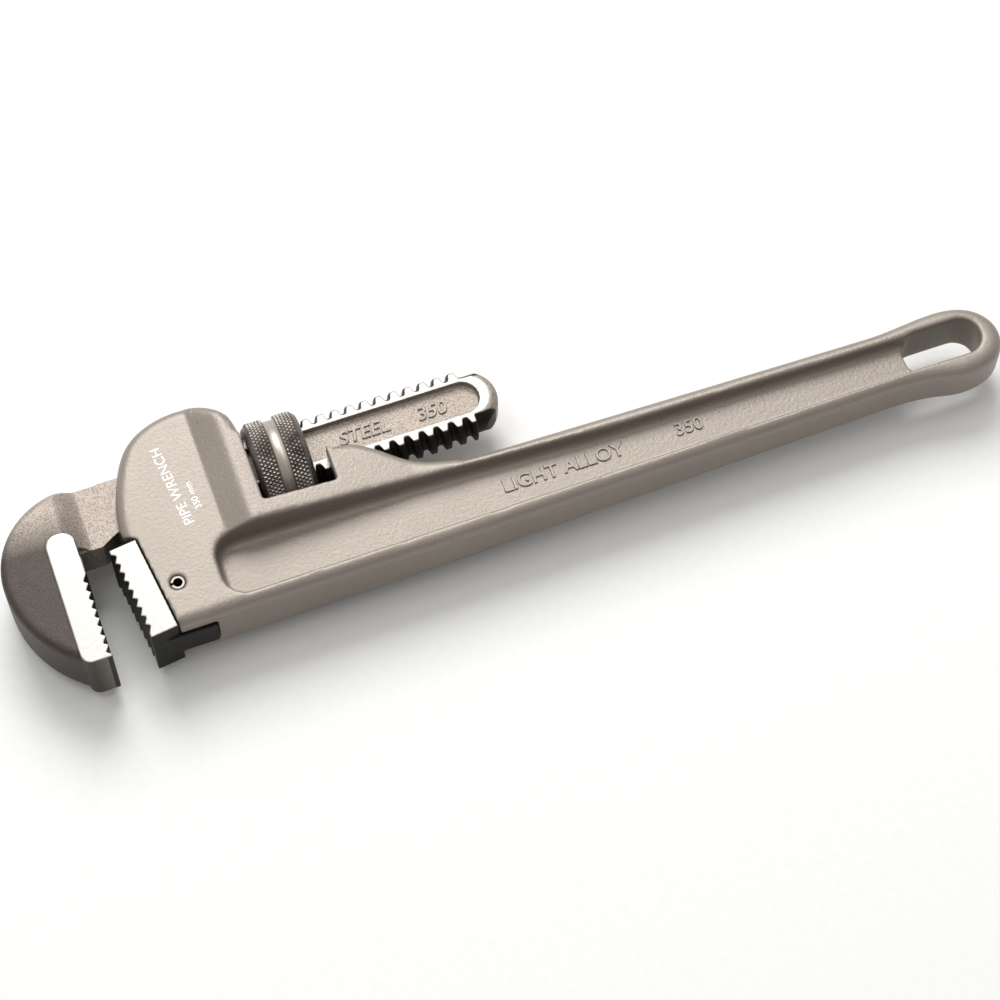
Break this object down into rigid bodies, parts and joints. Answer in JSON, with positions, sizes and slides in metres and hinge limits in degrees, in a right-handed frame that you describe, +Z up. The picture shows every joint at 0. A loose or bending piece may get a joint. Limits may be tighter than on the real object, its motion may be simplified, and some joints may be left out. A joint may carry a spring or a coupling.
{
  "type": "pipe wrench",
  "caption": "Straight pipe wrench with cast light-alloy I-beam handle, sliding hook jaw on a threaded shank, knurled adjusting nut, pinned toothed heel jaw and hanging hole.",
  "frame": {"origin": "bottom centre of the overall box, with the wrench lying flat on its side at the shown jaw opening", "axes": "+X along the handle from the jaws to the hanging hole, +Y towards the back of the wrench, +Z up through its thickness"},
  "size_m": [0.35, 0.081, 0.0338],
  "materials": {
    "handle_casting": "warm grey coat with fine orange-peel texture over cast light alloy",
    "forged_steel": "grainy shot-blasted forging, dark brown-grey, satin",
    "blackened_steel": "black oxide with bright knurl tips",
    "ground_steel": "ground bright faces, blackened teeth and ends",
    "pin_steel": "plain turned steel",
    "spring_steel": "blued spring steel"
  },
  "bodies": {
    "frame": {"handle": "handle_casting", "heel_jaw": "ground_steel", "heel_jaw_pin": "pin_steel", "flat_spring": "spring_steel", "spring_rivet": "pin_steel"},
    "float": {"coil_spring": "spring_steel"},
    "hook": {"hook_jaw": "forged_steel"},
    "nut": {"adjusting_nut": "blackened_steel"}
  },
  "joints": [
    {"name": "hook_rock", "type": "hinge", "parent": "frame", "child": "float", "pos_m": [-0.08358, 0.0139, 0.0169], "axis": [0, 0, 1], "range_deg": [-2, 0.5], "stiffness_Nm_per_rad": 16},
    {"name": "nut_turn", "type": "hinge", "parent": "float", "child": "nut", "pos_m": [-0.08358, 0.0139, 0.0169], "axis": [1, 0, 0], "range_deg": [-601, 3361]},
    {"name": "hook_travel", "type": "slide", "parent": "float", "child": "hook", "axis": [1, 0, 0], "range_m": [-0.049, 0.00875]}
  ],
  "couplings": [
    {"joint": "nut_turn", "follows": "hook_travel", "rad_per_m": -1196.8}
  ]
}
